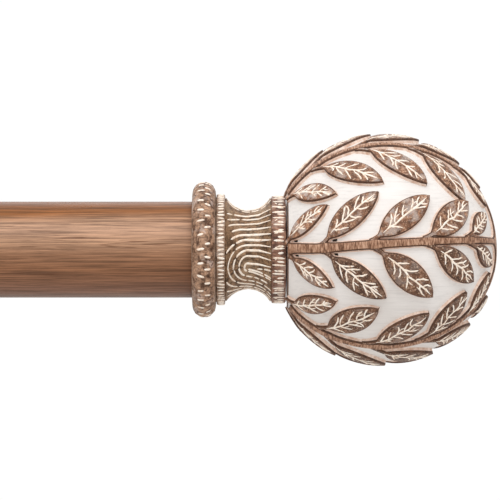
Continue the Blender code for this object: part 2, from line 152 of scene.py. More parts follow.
class Shape:
    """Vertices, faces, material slots and a per-vertex tone, gathered for one mesh."""

    def __init__(self):
        self.verts, self.faces, self.slots, self.tones = [], [], [], []

    def add(self, points, tone=0.5):
        first = len(self.verts)
        self.verts.extend(tuple(map(float, p)) for p in points)
        self.tones.extend([tone] * (len(self.verts) - first))
        return first

    def grid(self, rows, slots=0, closed=False, tone=0.5):
        """Faces between rows of equally many points. slots is one slot, or one for each column."""
        width = len(rows[0])
        first = self.add([p for row in rows for p in row], tone)
        columns = width if closed else width - 1
        for r in range(len(rows) - 1):
            for c in range(columns):
                a, b = first + r * width + c, first + r * width + (c + 1) % width
                self.faces.append((a, b, b + width, a + width))
                self.slots.append(slots if isinstance(slots, int) else slots[c])

    def ribbon(self, points, normals, halves, height, slot, tone=0.5):
        """A low rounded bead that follows points over a surface and tapers at both ends."""
        points, normals = np.asarray(points), np.asarray(normals)
        if len(points) < 2:
            return
        tangents = np.gradient(points, axis=0)
        across = np.cross(normals, tangents)
        across /= np.linalg.norm(across, axis=1)[:, None] + 1e-12
        halves = np.broadcast_to(halves, len(points)).copy()
        halves[[0, -1]] *= 0.35
        lifts = np.full(len(points), height)
        lifts[[0, -1]] *= 0.3
        sink = 0.05 * MM
        rows = []
        for share, lift in ((-1, 0), (-0.55, 0.8), (0, 1), (0.55, 0.8), (1, 0)):
            side = across * (halves * share)[:, None]
            up = normals * (lifts * lift - (sink if not lift else 0))[:, None]
            rows.append(points + side + up)
        self.grid([list(row) for row in rows], slot, tone=tone)

    def mesh(self, name, sharp=50):
        bm = bmesh.new()
        layer = bm.verts.layers.float.new("tone")
        made = [bm.verts.new(v) for v in self.verts]
        for vert, tone in zip(made, self.tones):
            vert[layer] = tone
        for corners, slot in zip(self.faces, self.slots):
            bm.faces.new([made[i] for i in corners]).material_index = slot
        bmesh.ops.remove_doubles(bm, verts=bm.verts, dist=1e-6)
        bmesh.ops.dissolve_degenerate(bm, edges=bm.edges, dist=1e-7)
        bmesh.ops.recalc_face_normals(bm, faces=bm.faces)
        return finished(bm, name, sharp)


def finished(bm, name, sharp=50):
    mesh = bpy.data.meshes.new(name)
    bm.to_mesh(mesh)
    bm.free()
    mesh.shade_smooth()
    mesh.set_sharp_from_angle(angle=radians(sharp))
    return mesh


def arc(centre, radius, start, end, steps):
    angles = np.radians(np.linspace(start, end, steps + 1))
    return [(centre[0] + radius * cos(a), centre[1] + radius * sin(a)) for a in angles]


def rounded(profile, radius, steps=3, solid=False):
    """A closed profile with its corners rounded. A solid's profile has two ends on the axis."""
    out = []
    count = len(profile)
    for i, corner in enumerate(profile):
        if solid and corner[1] == 0:
            out.append(corner)
            continue
        here = Vector(corner)
        before, after = Vector(profile[i - 1]) - here, Vector(profile[(i + 1) % count]) - here
        reach = min(radius, before.length * 0.45, after.length * 0.45)
        if reach < 0.02 * MM or before.angle(after) > radians(150):
            out.append(corner)
            continue
        first, last = here + before.normalized() * reach, here + after.normalized() * reach
        for k in range(steps + 1):
            t = k / steps
            out.append(tuple(first * (1 - t) ** 2 + here * 2 * t * (1 - t) + last * t**2))
    return out


def lathe(shape, profile, sides=96, closed=True, radius_at=None, slot_at=None):
    """A body turned about X from (x, radius) points. radius_at(x, r, angle) may shape it, and
    slot_at(x, r) picks the material slot of each band."""
    rows, first = [], len(shape.slots)
    points = list(profile) + ([profile[0]] if closed else [])
    for x, r in points:
        row = []
        for k in range(sides):
            angle = tau * k / sides
            rr = radius_at(x, r, angle) if radius_at else r
            row.append((x, -rr * cos(angle), rr * sin(angle)))
        rows.append(row)
    shape.grid(rows, closed=True)
    if slot_at:
        picks = [slot_at((a[0] + b[0]) / 2, (a[1] + b[1]) / 2) for a, b in zip(points, points[1:])]
        shape.slots[first:] = [pick for pick in picks for _ in range(sides)]


def turned(name, profile, sides=96, radius=0.0003, radius_at=None, slot_at=None, sharp=50):
    """A turned mesh, its corners rounded by radius. One that meets the axis is solid."""
    solid = any(r == 0 for _, r in profile)
    shape = Shape()
    lathe(shape, rounded(profile, radius, solid=solid), sides, not solid, radius_at, slot_at)
    return shape.mesh(name, sharp)


def loft(name, loops):
    """A closed body through equal loops of points, with flat ends."""
    shape = Shape()
    shape.grid(loops, closed=True)
    width = len(loops[0])
    for first in (0, width * (len(loops) - 1)):
        shape.faces.append(tuple(range(first, first + width)))
        shape.slots.append(0)
    return shape.mesh(name)


def shift(x, y, z):
    return Matrix.Translation((x, y, z))


def spin(turn, axis):
    """A rotation in degrees."""
    return Matrix.Rotation(radians(turn), 4, axis)


def linked(name, data):
    obj = bpy.data.objects.new(name, data)
    bpy.context.scene.collection.objects.link(obj)
    return obj


def combined(name, base, *steps):
    """The mesh left by Boolean steps on base, each an operation and the mesh that it uses."""
    working = [linked("working_body", base)]
    for operation, mesh in steps:
        working.append(linked("working_tool", mesh))
        modifier = working[0].modifiers.new(operation, "BOOLEAN")
        modifier.operation = operation
        modifier.object = working[-1]
    graph = bpy.context.evaluated_depsgraph_get()
    made = bpy.data.meshes.new_from_object(working[0].evaluated_get(graph))
    for obj in working:
        bpy.data.objects.remove(obj)
    bm = bmesh.new()
    bm.from_mesh(made)
    return finished(bm, name, 35)


def moved(mesh, matrix):
    mesh.transform(matrix)
    return mesh


def stations(start, end, step):
    count = max(2, round((end - start) / step))
    return [start + (end - start) * i / count for i in range(count + 1)]


def threaded(start, end, radius, pitch):
    """Profile points along a threaded length, close enough together for its thread."""
    return [(x, radius) for x in stations(start, end, pitch / 8)]


def helix(x, angle, pitch):
    """From 0 at the crest of a right-hand thread to 1 at its root."""
    wave = abs(2 * ((x / pitch + angle / tau) % 1) - 1)
    return min(1, max(0, 1.5 * wave - 0.25))


# Materials


def srgb(red, green, blue):
    """Linear colour from 0 to 255 display values."""
    out = []
    for value in (red, green, blue):
        v = value / 255
        out.append(v / 12.92 if v <= 0.04045 else ((v + 0.055) / 1.055) ** 2.4)
    return (*out, 1.0)


class Paint:
    """A Principled material being made, kept in PAINTS."""

    def __init__(self, name, roughness=0.5, metallic=0.0, specular=0.3):
        PAINTS[name] = material = bpy.data.materials.new(name)
        material.use_nodes = True
        self.tree = material.node_tree
        self.shader = self.tree.nodes["Principled BSDF"]
        self.shader.inputs["Roughness"].default_value = roughness
        self.shader.inputs["Metallic"].default_value = metallic
        self.shader.inputs["Specular IOR Level"].default_value = specular
        self.coordinates = self.node("TexCoord").outputs["Object"]

    def node(self, kind, inputs=(), **settings):
        made = self.tree.nodes.new("ShaderNode" + kind)
        for key, value in settings.items():
            setattr(made, key, value)
        for socket, value in dict(inputs).items():
            self.put(made.inputs[socket], value)
        return made

    def put(self, socket, value):
        if isinstance(socket, str):
            socket = self.shader.inputs[socket]
        if isinstance(value, bpy.types.NodeSocket):
            self.tree.links.new(value, socket)
        else:
            socket.default_value = value

    def noise(self, size, detail=4.0, rough=0.55, distortion=0.0, start=0.0):
        """Noise whose features are about size metres, one number or one for each axis."""
        sizes = (size, size, size) if isinstance(size, float) else size
        scale = tuple(1 / s for s in sizes)
        place = {"Vector": self.coordinates, "Scale": scale, "Location": (start,) * 3}
        inputs = {"Vector": self.node("Mapping", place).outputs[0], "Scale": 1.0}
        inputs |= {"Detail": detail, "Roughness": rough, "Distortion": distortion}
        return self.node("TexNoise", inputs).outputs["Fac"]

    def ramp(self, value, stops):
        """A colour for each value. A stop has a grey level, or 0 to 255 display values."""
        made = self.node("ValToRGB", {"Fac": value})
        points = made.color_ramp.elements
        while len(points) < len(stops):
            points.new(0.5)
        for point, (position, colour) in zip(points, stops):
            point.position = position
            point.color = srgb(*colour) if isinstance(colour, tuple) else (colour,) * 3 + (1,)
        return made.outputs["Color"]

    def mask(self, value, start, full, top=1.0):
        """From 0 up to start, to top from full."""
        return self.ramp(value, [(start, 0.0), (full, top)])

    def mix(self, share, first, second, blend="MIX"):
        made = self.node("Mix", data_type="RGBA", blend_type=blend)
        for index, value in ((0, share), (6, first), (7, second)):
            self.put(made.inputs[index], value)
        return made.outputs[2]

    def math(self, operation, first, second=0.5):
        return self.node("Math", {0: first, 1: second}, operation=operation).outputs[0]

    def tone(self):
        return self.node("Attribute", attribute_name="tone").outputs["Fac"]

    def finish(self, colour, height, distance, strength):
        """The colour, and a bump of distance metres from height."""
        bump = self.node("Bump", {"Height": height, "Distance": distance, "Strength": strength})
        self.put("Base Color", colour)
        self.put("Normal", bump.outputs["Normal"])


def oak_film():
    """Printed oak film: long streaks and dark pores, with a painted highlight above the middle and
    painted shade at top and bottom.
    """
    paint = Paint("oak_film", 0.40, specular=0.2)
    height = paint.node("SeparateXYZ", {"Vector": paint.coordinates}).outputs["Z"]
    sway = 0.0050
    wander = paint.math("MULTIPLY", paint.noise((0.10, 0.006, 0.006), 2.0, 0.5), sway)
    level = paint.math("ADD", paint.math("ADD", height, wander), ROD_RADIUS - sway / 2)
    # Painted light by height: darker towards the bottom and the top as painted shade, pale above
    # the middle as a painted highlight.
    height_light_and_shade = [
        (0.00, (116, 86, 70)),
        (0.10, (129, 91, 70)),
        (0.30, (137, 94, 66)),
        (0.45, (146, 105, 78)),
        (0.56, (173, 133, 105)),
        (0.68, (176, 137, 111)),
        (0.80, (169, 130, 103)),
        (0.90, (136, 86, 48)),
        (1.00, (114, 66, 28)),
    ]
    base = paint.ramp(paint.math("DIVIDE", level, 2 * ROD_RADIUS), height_light_and_shade)
    fine = paint.noise((0.018, 0.00042, 0.00042), 5.0, 0.7, 0.25)
    streaks = paint.ramp(fine, [(0.38, 0.56), (0.46, 0.88), (0.53, 1.06), (0.62, 1.42)])
    colour = paint.mix(1.0, base, streaks, "MULTIPLY")
    pores = paint.mask(paint.noise((0.011, 0.00032, 0.00032), 2.0, 0.5, 0.3, 7.0), 0.56, 0.64)
    zones = paint.mask(paint.noise((0.05, 0.003, 0.003), 2.0, start=3.0), 0.42, 0.6, 0.8)
    colour = paint.mix(paint.math("MULTIPLY", pores, zones), colour, srgb(96, 60, 38))
    paint.put("Roughness", paint.ramp(fine, [(0.3, 0.44), (0.7, 0.34)]))
    paint.finish(colour, fine, 0.00004, 0.5)


def carved_brown(name, light, dark, patch):
    """Brown stained resin with paler worn patches and fine scratches."""
    paint = Paint(name, 0.55)
    mottle = paint.noise(0.0022, 5.0, 0.7)
    base = paint.ramp(mottle, [(0.40, dark), (0.56, light)])
    worn = paint.mask(paint.noise(0.0042, 3.0, 0.6, start=5.0), 0.54, 0.62)
    base = paint.mix(paint.math("MULTIPLY", worn, 0.7), base, srgb(*patch))
    grain = paint.noise((0.0016, 0.0003, 0.0003), 4.0, 0.7, start=2.0)
    scratched = paint.ramp(grain, [(0.38, 0.5), (0.50, 0.95), (0.62, 1.35)])
    colour = paint.mix(1.0, base, scratched, "MULTIPLY")
    paint.finish(colour, paint.math("ADD", grain, mottle), 0.00014, 0.7)


def cream():
    paint = Paint("cream_paint", 0.55)
    wear = paint.noise(0.0009, 4.0, 0.7)
    tints = [(0.30, (206, 170, 142)), (0.43, (246, 226, 206)), (0.6, (255, 246, 234))]
    paint.finish(paint.ramp(wear, tints), wear, 0.00005, 0.5)


def ivory():
    """Ivory paint with faint brush marks."""
    paint = Paint("ivory", 0.5)
    brush = paint.noise((0.012, 0.0022, 0.0006), 4.0, 0.65, 0.3)
    tint = paint.ramp(paint.noise(0.016, 2.0), [(0.35, (230, 224, 219)), (0.65, (240, 235, 231))])
    shade = paint.ramp(brush, [(0.32, 0.88), (0.46, 0.97), (0.6, 1.0)])
    paint.finish(paint.mix(1.0, tint, shade, "MULTIPLY"), brush, 0.00005, 0.7)


def leaf_top():
    """Brown glaze, darker and paler in patches; high tones are painted pale and grey as painted
    light, low tones dark as painted shade.
    """
    paint = Paint("leaf_top", 0.52)
    mottle = paint.noise(0.0013, 6.0, 0.75)
    browns = [(0.34, (60, 39, 28)), (0.45, (90, 60, 43)), (0.54, (114, 79, 58))]
    browns.append((0.66, (164, 126, 101)))
    # The tone scales the brown: painted light on high tones, painted shade on low ones.
    lift = paint.math("ADD", paint.math("MULTIPLY", paint.tone(), 0.95), 0.74)
    lift = paint.node("CombineXYZ", {"X": lift, "Y": lift, "Z": lift}).outputs[0]
    colour = paint.mix(1.0, paint.ramp(mottle, browns), lift, "MULTIPLY")
    # Pale grey patches laid on by tone: part wash, part painted sheen on the lit leaves.
    wash_and_sheen = paint.mask(paint.noise(0.0030, 3.0, 0.6, start=9.0), 0.50, 0.62)
    share = paint.math("MULTIPLY", paint.math("MULTIPLY", wash_and_sheen, paint.tone()), 0.62)
    colour = paint.mix(share, colour, srgb(196, 182, 174))
    specks = paint.mask(paint.noise(0.00040, 2.0, 0.5, start=4.0), 0.58, 0.66)
    colour = paint.mix(paint.math("MULTIPLY", specks, 0.55), colour, srgb(224, 192, 164))
    paint.finish(colour, mottle, 0.00012, 0.7)


def plain_mottle(name, low, high, size, roughness=0.6):
    paint = Paint(name, roughness)
    mottle = paint.noise(size, 4.0, 0.65)
    paint.finish(paint.ramp(mottle, [(0.35, low), (0.65, high)]), mottle, 0.00006, 0.5)


def branch_wood():
    """Brown glaze hatched across the branch."""
    paint = Paint("branch_wood", 0.55)
    hatch = paint.noise((0.00038, 0.0016, 0.0016), 3.0, 0.6)
    browns = [(0.36, (100, 66, 46)), (0.5, (158, 116, 90)), (0.64, (200, 160, 134))]
    paint.finish(paint.ramp(hatch, browns), hatch, 0.0001, 0.6)


def powder_coat():
    paint = Paint("bronze_paint", 0.42, 0.45, 0.5)
    peel = paint.noise(0.0006, 3.0, 0.6)
    tint = paint.ramp(paint.noise(0.012, 3.0), [(0.3, (88, 60, 43)), (0.7, (104, 72, 51))])
    paint.put("Roughness", paint.ramp(peel, [(0.3, 0.36), (0.7, 0.5)]))
    paint.finish(tint, peel, 0.00003, 0.6)


def metal(name, low, high, roughness):
    paint = Paint(name, roughness, 1.0)
    brushed = paint.noise((0.0004, 0.004, 0.004), 3.0, 0.6)
    paint.put("Roughness", paint.ramp(brushed, [(0.3, roughness - 0.07), (0.7, roughness + 0.08)]))
    paint.finish(paint.ramp(brushed, [(0.3, low), (0.7, high)]), brushed, 0.00001, 0.5)


def make_materials():
    oak_film()
    carved_brown("carved_ring", (177, 139, 112), (88, 59, 41), (194, 172, 160))
    carved_brown("carved_neck", (149, 116, 87), (86, 62, 42), (164, 136, 108))
    carved_brown("pale_band", (172, 142, 120), (118, 90, 70), (194, 176, 162))
    carved_brown("dark_band", (149, 109, 88), (92, 60, 46), (178, 150, 136))
    cream()
    ivory()
    leaf_top()
    # Dark brown: painted shade on the leaf and branch edges and round the ball's seat, and dark
    # scratches on the bead ring.
    plain_mottle("leaf_edge", (64, 42, 31), (108, 74, 54), 0.0012)
    plain_mottle("leaf_wall", (208, 172, 150), (246, 226, 212), 0.0016)
    branch_wood()
    powder_coat()
    metal("zinc", (186, 188, 190), (214, 214, 212), 0.32)
    metal("brass", (196, 160, 92), (222, 188, 118), 0.3)
    # Near black: painted shade for the spots in the corners between stalks and branch.
    plain_mottle("soot", (30, 20, 15), (46, 32, 25), 0.002)
    plain_mottle("nylon", (214, 210, 200), (226, 222, 213), 0.003, 0.45)
    plain_mottle("pale_floor", (214, 212, 210), (216, 214, 212), 0.3, 0.8)


# The ball and its leaf sprays


def direction(along, around):
    """Unit vector from the ball's centre, from angles in degrees; the front branch is round 0."""
    a, b = radians(along), radians(around)
    return np.array((-cos(a), -sin(a) * cos(b), sin(a) * sin(b)))


def unit(vectors):
    return vectors / np.linalg.norm(vectors, axis=-1, keepdims=True)


def along_path(points, shares):
    """Points at given shares of the length of a path over the unit ball."""
    steps = np.linalg.norm(np.diff(points, axis=0), axis=1)
    run = np.concatenate(([0], np.cumsum(steps)))
    run /= run[-1]
    return unit(np.stack([np.interp(shares, run, points[:, k]) for k in range(3)], axis=1))


# The dark edge columns are a line of painted shade round the top.
EDGE_SLOTS = (1, 2, 2, 0, 0, 0, 0, 2, 2, 1)  # wall, dark edge, top ... dark edge, wall


def raised_strip(shape, middles, halves, heights, tone, top=0):
    """A raised plate along middles, with a crowned top, painted shade along its edges and pale
    sloping walls.
    """
    tangents = np.gradient(middles, axis=0)
    across = unit(np.cross(middles, tangents))
    section = []
    for side in (-1, 1):
        bevel = np.minimum(0.24 * MM, halves * 0.3)
        columns = [
            (halves + 0.42 * MM, np.full_like(heights, -0.1 * MM)),
            (halves + 0.12 * MM, heights * 0.58),
            (halves, heights - 0.16 * MM),
            (halves - bevel, heights),
            (halves * 0.45, heights + 0.05 * MM),
        ]
        ordered = columns if side < 0 else columns[::-1]
        section += [(side * width, height) for width, height in ordered]
        if side < 0:
            section.append((np.zeros_like(halves), heights + 0.06 * MM))
    columns = [
        unit(middles * BALL_RADIUS + across * width[:, None]) * (BALL_RADIUS + height)[:, None]
        for width, height in section
    ]
    slots = [top if s == 0 else s for s in EDGE_SLOTS]
    rows = [[column[i] for column in columns] for i in range(len(middles))]
    end = unit(middles[-1] * BALL_RADIUS + unit(tangents[-1]) * (0.36 * MM))
    rows.append([end * (BALL_RADIUS - 0.1 * MM)] * len(columns))
    shape.grid(rows, slots, tone=tone)
    return across


def blade_share(b):
    """A leaf's half width, as a share of its greatest, at b from 0 at its base to 1 at its tip."""
    b = np.clip(b, 0, 1)
    return 3.0 * b**0.75 * (1 - b) ** 0.82


def branch_turn(along, seed):
    """How far a branch strays round from its meridian, in degrees."""
    reach = 1.0 if seed == 1 else sin(2.1 * seed)
    return reach * (2.6 * exp(-(((along - 34) / 14) ** 2)) - 1.1)


def late_start(seed):
    """How much later a spray starts, in degrees, so that all six start at the collar."""
    return max(-1.0, SPRAY_TILT * sin(radians(SPRAY_TURN + 360 / SPRAYS * (seed - 1))))


def webbed(half, along):
    """A branch's half width, broadened in round fillets to meet its neighbours at the pole."""
    reach = BALL_RADIUS * sin(radians(along)) if along > 90 else BALL_RADIUS
    sector = tan(pi / SPRAYS)
    across = half + WEB_RADIUS
    before = across / sector - reach
    if before <= 0:
        return half
    fillet = across - sqrt(max(0.0, WEB_RADIUS**2 - before**2))
    return min(fillet, reach * sector + 0.5 * MM)


def leaf_middles(seed, number, side, shares):
    """Points down a leaf's middle on the unit ball, from inside the branch to the leaf's tip."""
    base, tip, around, _, offset, bend_along, bend_around = LEAF_PAIRS[number]
    if number == 0:
        base += late_start(seed)
    shifts = LEAF_SHIFTS.get((seed, side), PLAIN_SHIFTS)[number]
    base, tip, around = base - side + shifts[0], tip + shifts[1], around + shifts[2]
    stem = degrees(offset / (BALL_RADIUS * sin(radians(base))))
    turn = branch_turn(base, seed)
    ends = (
        direction(base - 3.2, side * stem + turn),
        direction(base + bend_along * (tip - base), side * bend_around * around + turn),
        direction(tip, side * around),
    )
    t = np.linspace(0, 1, 80)[:, None]
    path = unit(ends[0] * (1 - t) ** 2 + ends[1] * 2 * t * (1 - t) + ends[2] * t**2)
    return along_path(path, shares)


def add_leaf(shape, rng, seed, number, side):
    """A stalk and blade with its veins. Leaves are numbered from the collar outwards."""
    shares = np.concatenate((np.linspace(0, 0.2, 6), np.linspace(0.2, 1, 22)[1:]))
    middles = leaf_middles(seed, number, side, shares)
    half = LEAF_PAIRS[number][3] * (1 + rng.uniform(-0.05, 0.05))
    start = (0.17 if seed == 1 else 0.24) + 0.10 * (number == 4)
    blade = half * blade_share((shares - start) / (1 - start))
    stalk = (0.42 * MM + 0.75 * MM * np.exp(-shares / 0.045)) * np.clip((0.5 - shares) / 0.3, 0, 1)
    halves = np.sqrt(blade**2 + stalk**2) + 0.05 * MM
    halves[0] = 0.4 * MM  # hidden in the branch
    heights = 0.85 * MM + 0.4 * MM * np.clip(shares / 0.3, 0, 1) + 0.06 * MM * np.sin(9 * shares)
    # Leaves on the pale side get high tones, painted light; those on the dark side low tones,
    # painted shade.
    leaf_light = SPRAY_LIGHT.get(seed, "pale" if side > 0 else "dark")
    tone = rng.uniform(0.6, 1.0) if leaf_light == "pale" else rng.uniform(0.0, 0.4)
    tone += 0.25 * (number == 0)
    across = raised_strip(shape, middles, halves, heights, tone)
    add_veins(shape, rng, (shares, middles, across, halves, heights))


def on_leaf(leaf, share, offset):
    """A point on a leaf's top and its normal; offset is from -1 to 1 across the leaf."""
    shares, *columns = leaf
    index = np.interp(share, shares, np.arange(len(shares)))
    low = min(int(index), len(shares) - 2)
    part = index - low
    middle, across, half, height = (c[low] * (1 - part) + c[low + 1] * part for c in columns)
    normal = unit(middle * BALL_RADIUS + across * half * offset)
    return normal * (BALL_RADIUS + (height + 0.05 * MM)), normal


def add_vein(shape, rng, leaf, track, halves, height=0.08 * MM):
    points, normals = zip(*(on_leaf(leaf, share, offset) for share, offset in track))
    shape.ribbon(points, normals, np.array(halves) * MM, height, 3, rng.random())


def add_veins(shape, rng, leaf):
    """A wavering midrib, and side veins that lean to the tip, some of them forked."""
    wander = [rng.uniform(-0.09, 0.09) for _ in range(9)]
    midrib = [(0.22 + 0.09 * k, wander[k]) for k in range(9)]
    add_vein(shape, rng, leaf, midrib, [rng.uniform(0.24, 0.34) for _ in midrib], 0.1 * MM)
    for way in (-1, 1):
        begin = 0.30 + rng.uniform(-0.02, 0.04)
        while begin < 0.82:
            reach, lean = rng.uniform(0.55, 0.82), rng.uniform(0.07, 0.17)
            bow, kink = rng.uniform(-0.03, 0.035), rng.uniform(-0.05, 0.05)
            track = [(begin, np.interp(begin, [share for share, _ in midrib], wander))]
            for k in range(1, 6):
                share = begin + lean * k / 5 + bow * sin(pi * k / 5)
                track.append((min(0.96, share), way * (reach * k / 5 + kink * (k % 2))))
            if rng.random() > 0.06:
                add_vein(shape, rng, leaf, track, [rng.uniform(0.20, 0.28) for _ in track])
            if rng.random() > 0.72:
                share, offset = track[2]
                steps = ((0, 0), (0.05, 0.03), (0.09, 0.02))
                fork = [(share + along, offset + way * out) for along, out in steps]
                add_vein(shape, rng, leaf, fork, (0.2, 0.19, 0.16))
            begin += rng.uniform(0.095, 0.135)


def spray_mesh(seed):
    """A branch and its leaves, in the frame of the ball's centre.

    Slots: top, wall, painted edge shade, vein, branch, painted shade spot."""
    rng = random.Random(seed)
    shape = Shape()
    along = np.linspace(BRANCH_SPAN[0] + late_start(seed), BRANCH_SPAN[1], 120)
    middles = np.array([direction(a, branch_turn(a, seed)) for a in along])
    halves = np.interp(along, (34, 60, 100, 177), (1.30, 1.15, 1.0, 0.72)) * MM
    for base, *_ in LEAF_PAIRS:
        halves += 0.28 * MM * np.exp(-(((along - base + 1.0) / 2.6) ** 2))
    halves = np.array([webbed(half, a) for half, a in zip(halves, along)])
    heights = np.interp(along, (34, 40, 120, 177), (1.0, 1.12, 1.05, 0.85)) * MM
    raised_strip(shape, middles, halves, heights, 0.5, top=4)
    for number in range(len(LEAF_PAIRS)):
        for side in (1, -1):
            add_leaf(shape, rng, seed, number, side)
    for along in SHADE_SPOTS if seed in (1, 4) else ():
        for side in (1, -1):
            add_shade_spot(shape, along, side * 1.95 * MM, branch_turn(along, seed))
    return shape.mesh(f"spray_{seed}", 60)


def add_shade_spot(shape, along, offset, turn):
    """A small dark disc of painted shade in the corner between a stalk and the branch."""
    around = turn + degrees(offset / (BALL_RADIUS * sin(radians(along))))
    centre = direction(along, around)
    first = unit(np.cross(centre, (0.0, 0.0, 1.0)))
    second = np.cross(centre, first)
    rings = []
    for radius, lift in ((0.72, 0.02), (0.6, 0.1), (0.0, 0.13)):
        ring = []
        for k in range(12):
            angle = tau * k / 12
            way = first * cos(angle) + second * sin(angle)
            ring.append(unit(centre * BALL_RADIUS + way * radius * MM) * (BALL_RADIUS + lift * MM))
        rings.append(ring)
    shape.grid(rings, 5, closed=True)


def ball_mesh():
    """Slots: ivory skin, painted shade in a rim round the seat on the neck."""
    seat = degrees(acos((BALL_X - SEAT_X) / BALL_RADIUS))
    skin = arc((BALL_X, 0), BALL_RADIUS, 180 - seat, 0, 120)
    depth, bore = 0.043, 0.0032
    hole = [(depth, 0), (depth, bore), (SEAT_X, bore)]
    # Painted shade in the crevice where the ball meets the neck.
    seat_shade_rim = SEAT_X + 0.45 * MM

    def slot_at(x, r):
        return int(x < seat_shade_rim and r > 0.01)

    return turned("ball", hole + skin, 144, 0, slot_at=slot_at, sharp=40)


# The neck and the bead ring


def circle_point(x, radius, angle):
    """A point about X; angle 0 faces the room and a quarter turn is up. In radians."""
    return np.array((x, -radius * cos(angle), radius * sin(angle)))


def waist_curve():
    """The centre and radius of the waist's arc in (x, radius)."""
    start, end = BAND_IN[1], BAND_OUT[0]
    depth = BAND_OUT[2] - WAIST
    sweep = 2 * atan(2 * depth / (end - start))
    radius = (end - start) / 2 / sin(sweep)
    return ((start + end) / 2, WAIST + radius), radius, degrees(sweep)


def waist_point(x, angle):
    centre, radius, _ = waist_curve()
    drop = sqrt(max(0, radius**2 - (x - centre[0]) ** 2))
    normal_x, normal_r = (centre[0] - x) / radius, drop / radius
    point = circle_point(x, centre[1] - drop, angle)
    normal = np.array((normal_x, -normal_r * cos(angle), normal_r * sin(angle)))
    return point, normal


def stroke(surface, turn, radius, reach, slant, count):
    """Points and normals of a short line on a turned surface, at an angle of slant to X. surface
    gives its point and normal, each (x, radius), at a distance along it."""
    points, normals = [], []
    for t in np.linspace(-reach / 2, reach / 2, count):
        around = turn + t * sin(slant) / radius
        point, normal = surface(t * cos(slant))
        points.append(circle_point(*point, around))
        normals.append(circle_point(*normal, around))
    return points, normals


def band_marks(shape, rng, count, x, length, half, radius, tilt, phase=0.0):
    """Short raised dashes along X, evenly spaced round a band."""
    for k in range(count):
        angle = tau * (k + phase + rng.uniform(-0.16, 0.16)) / count
        reach = length * rng.uniform(0.85, 1.12)
        slant = radians(rng.uniform(-tilt, tilt))
        mark = stroke(lambda run: ((x + run, radius), (0, 1)), angle, radius, reach, slant, 5)
        shape.ribbon(*mark, half * rng.uniform(0.8, 1.15), 0.14 * MM, 1, rng.random())


def grain_lines(shape, rng):
    """Carved lines round the waist that part, like wood grain, about a knot front and back."""
    start, end = BAND_IN[1] + 0.30 * MM, BAND_OUT[0] - 0.15 * MM
    knot_x = BAND_IN[1] + 5.7 * MM
    across_gap, up_gap = 1.45 * MM, 1.72 * MM
    lines = int(pi / 2 * KNOT_RADIUS / up_gap)
    for turn in (0.0, pi):
        for k in range(lines):
            level = k + 0.45
            track = [(x, level * up_gap) for x in stations(end, knot_x, 0.3 * MM)]
            steps = 16 + 8 * k
            for step in range(1, steps):
                bend = pi * step / steps
                across = level * across_gap * sin(bend)
                track.append((knot_x - across, level * up_gap * cos(bend)))
            track += [(x, -level * up_gap) for x in stations(knot_x, end, 0.3 * MM)]
            draw_broken(shape, rng, track, (start, end), knot_x, turn)
        for height, first in ((-0.02 * MM, knot_x + 0.3 * MM), (0.02 * MM, knot_x + 2.6 * MM)):
            track = [(x, height) for x in stations(first, end, 0.3 * MM)]
            draw_broken(shape, rng, track, (start, end), knot_x, turn)


def arch_rise(height, past):
    """How far a line above the knot bows up at past metres beyond it."""
    near = (1 - exp(-height / (1.5 * MM))) * max(0.0, 1 - height / (9 * MM))
    return 2.2 * MM * near * exp(-(((past - 1.0 * MM) / (4.0 * MM)) ** 2))


def draw_broken(shape, rng, track, span, knot_x, turn):
    """Carves (x, height) points into the waist as a line of uneven strokes."""
    phase = rng.uniform(0, tau)
    run, piece = 0.0, []
    limit = rng.uniform(1.5, 4.5) * MM
    for index, (x, height) in enumerate(track):
        past = x - knot_x
        if height < 0:
            height -= 0.30 * past * max(0.0, 1 + height / (15 * MM))
        else:
            height += arch_rise(height, past)
        height += 0.07 * MM * sin(1100 * x + phase)
        inside = span[0] <= x <= span[1]
        if inside:
            radius = np.linalg.norm(waist_point(x, 0)[0][1:])
            angle = KNOT_ANGLE + height / KNOT_RADIUS
            level = (KNOT_RADIUS / radius) ** 0.7 - 1
            piece.append(waist_point(x, turn + angle * (1 + level * max(0, cos(angle)))))
            run += 0.3 * MM
        if piece and (not inside or run > limit or index == len(track) - 1):
            if len(piece) > 3:
                points, normals = zip(*piece)
                shape.ribbon(points, normals, rng.uniform(0.25, 0.34) * MM, 0.13 * MM, 1)
            piece, run, limit = [], 0.0, rng.uniform(1.5, 4.5) * MM


